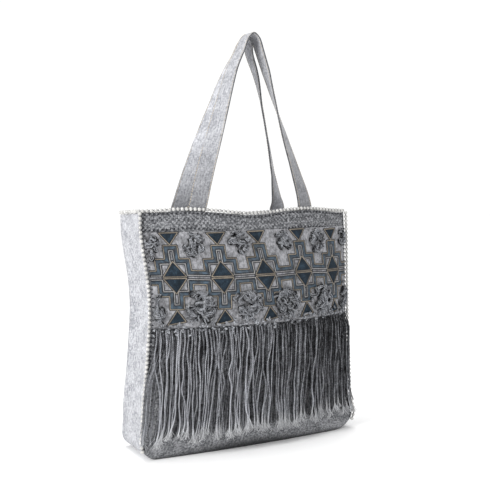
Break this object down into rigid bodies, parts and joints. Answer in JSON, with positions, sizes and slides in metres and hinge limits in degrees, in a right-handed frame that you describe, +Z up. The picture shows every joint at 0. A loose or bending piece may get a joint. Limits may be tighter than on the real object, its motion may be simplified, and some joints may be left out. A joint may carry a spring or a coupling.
{
  "type": "fringed tote bag",
  "caption": "Soft grey canvas shoulder tote with two long straps, an embroidered and tufted front band with a beaded edge and a long yarn fringe under it.",
  "frame": {"origin": "on the floor, in the middle of the base between the front and back seams", "axes": "+X along the front from left to right as seen from the front, +Y to the back, +Z up"},
  "size_m": [0.3849, 0.1592, 0.6485],
  "materials": {
    "canvas": "washed grey canvas",
    "front_weave": "flecked grey weave",
    "band_cloth": "soft grey weave",
    "ribbon_blue": "satin ribbon",
    "patch_blue": "matt felt",
    "tuft_yarn": "frayed yarn",
    "fringe_yarn": "twisted yarn",
    "bead_pearl": "pearl white"
  },
  "bodies": {
    "root": {"front_panel": "front_weave", "back_panel": "canvas", "gusset": "canvas", "strap_front": "canvas", "strap_back": "canvas", "embroidered_band": "band_cloth", "stepped_ribbon_upper": "ribbon_blue", "stepped_ribbon_lower": "ribbon_blue", "diamond_upper_1": "patch_blue", "diamond_lower_1": "patch_blue", "top_triangle_1": "patch_blue", "bottom_triangle_1": "patch_blue", "diamond_upper_2": "patch_blue", "diamond_lower_2": "patch_blue", "top_triangle_2": "patch_blue", "bottom_triangle_2": "patch_blue", "diamond_upper_3": "patch_blue", "diamond_lower_3": "patch_blue", "top_triangle_3": "patch_blue", "bottom_triangle_3": "patch_blue", "diamond_upper_4": "patch_blue", "diamond_lower_4": "patch_blue", "top_triangle_4": "patch_blue", "bottom_triangle_4": "patch_blue", "diamond_upper_5": "patch_blue", "diamond_lower_5": "patch_blue", "top_triangle_5": "patch_blue", "bottom_triangle_5": "patch_blue", "tuft_upper_1": "tuft_yarn", "tuft_upper_2": "tuft_yarn", "tuft_upper_3": "tuft_yarn", "tuft_upper_4": "tuft_yarn", "tuft_upper_left": "tuft_yarn", "tuft_upper_right": "tuft_yarn", "tuft_lower_1": "tuft_yarn", "tuft_lower_2": "tuft_yarn", "tuft_lower_3": "tuft_yarn", "tuft_lower_4": "tuft_yarn", "tuft_lower_left": "tuft_yarn", "tuft_lower_right": "tuft_yarn", "fringe": "fringe_yarn", "bead_string_left": "bead_pearl", "bead_string_right": "bead_pearl", "bead_string_rim": "bead_pearl"}
  },
  "joints": []
}
